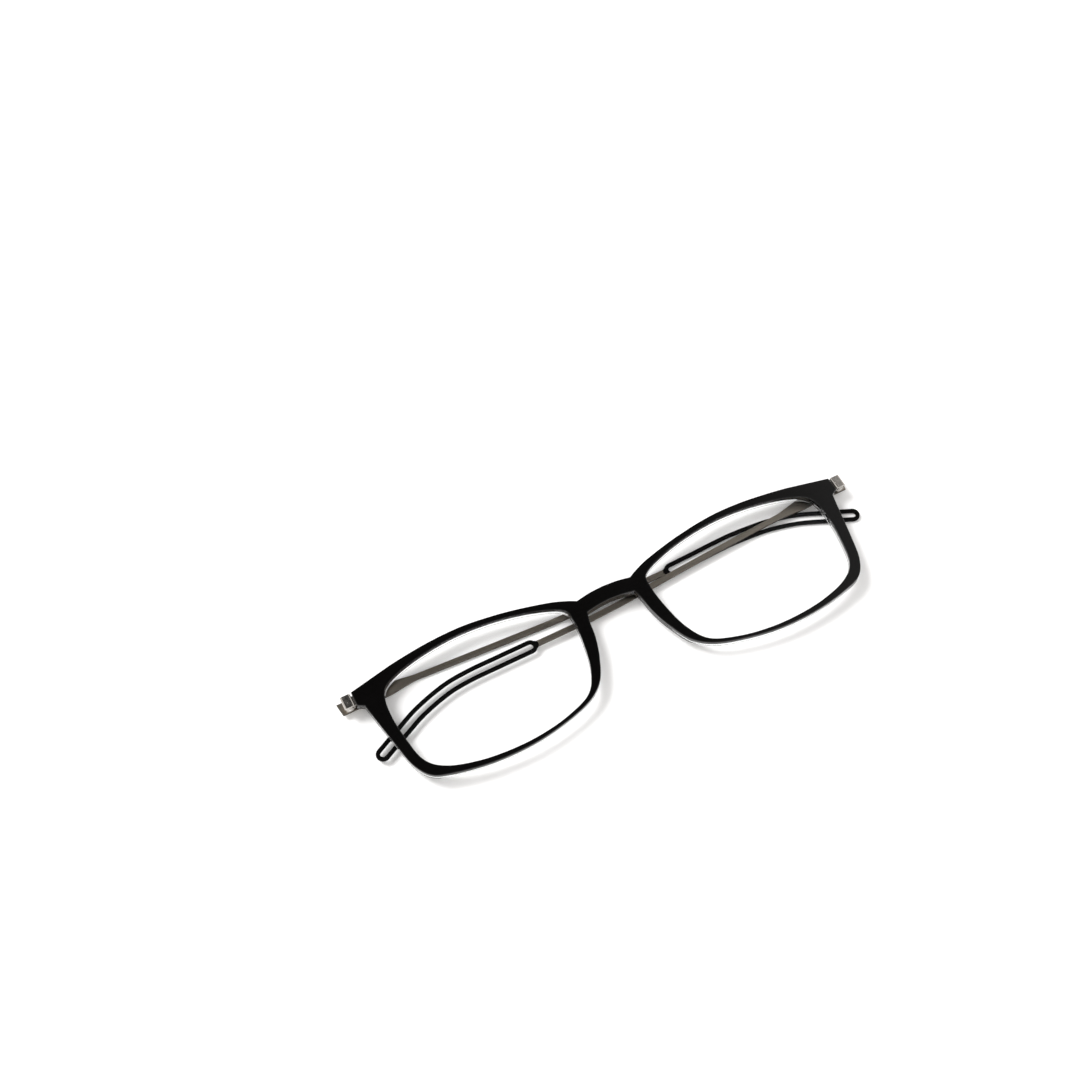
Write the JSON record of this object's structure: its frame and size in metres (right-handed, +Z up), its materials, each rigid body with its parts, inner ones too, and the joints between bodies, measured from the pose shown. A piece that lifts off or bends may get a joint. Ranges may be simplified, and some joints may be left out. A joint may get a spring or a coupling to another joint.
{
  "type": "folding reading glasses",
  "caption": "Slim folding reading glasses with a flat two-layer front, clear lenses and thin steel temples that end in black ear loops.",
  "frame": {"origin": "middle of the folded glasses' bounding box, on the surface that they lie on", "axes": "+X along the front towards the right hinge, +Y to the front's top edge, +Z up, out of the front's black face"},
  "size_m": [0.1474, 0.037, 0.0049],
  "materials": {
    "black_gloss": "polished",
    "clear_plastic": "polished",
    "lens": "coated",
    "nickel": "polished",
    "pin_steel": "polished",
    "strip_steel": "brushed lengthwise",
    "knuckle_brass": "turned",
    "washer": "plain",
    "wire_steel": "drawn",
    "tip_rubber": "satin"
  },
  "bodies": {
    "front": {"front_face": "black_gloss", "front_rear": "clear_plastic", "lens_left": "lens", "lens_right": "lens", "bracket_left": "nickel", "bracket_right": "nickel", "bracket_rivets_left": "pin_steel", "bracket_rivets_right": "pin_steel", "hinge_pin_left": "pin_steel", "hinge_pin_right": "pin_steel", "hinge_washers_left": "washer", "hinge_washers_right": "washer"},
    "temple_left": {"temple_strip_left": "strip_steel", "temple_knuckle_left": "knuckle_brass", "loop_wire_left": "wire_steel", "temple_tip_left": "tip_rubber"},
    "temple_right": {"temple_strip_right": "strip_steel", "temple_knuckle_right": "knuckle_brass", "loop_wire_right": "wire_steel", "temple_tip_right": "tip_rubber"}
  },
  "joints": [
    {"name": "left_hinge", "type": "hinge", "parent": "front", "child": "temple_left", "pos_m": [-0.0711, 0.0123, 0.00327], "axis": [0, 1, 0], "range_deg": [0, 90]},
    {"name": "right_hinge", "type": "hinge", "parent": "front", "child": "temple_right", "pos_m": [0.0711, 0.0123, 0.00327], "axis": [0, -1, 0], "range_deg": [0, 90]}
  ]
}
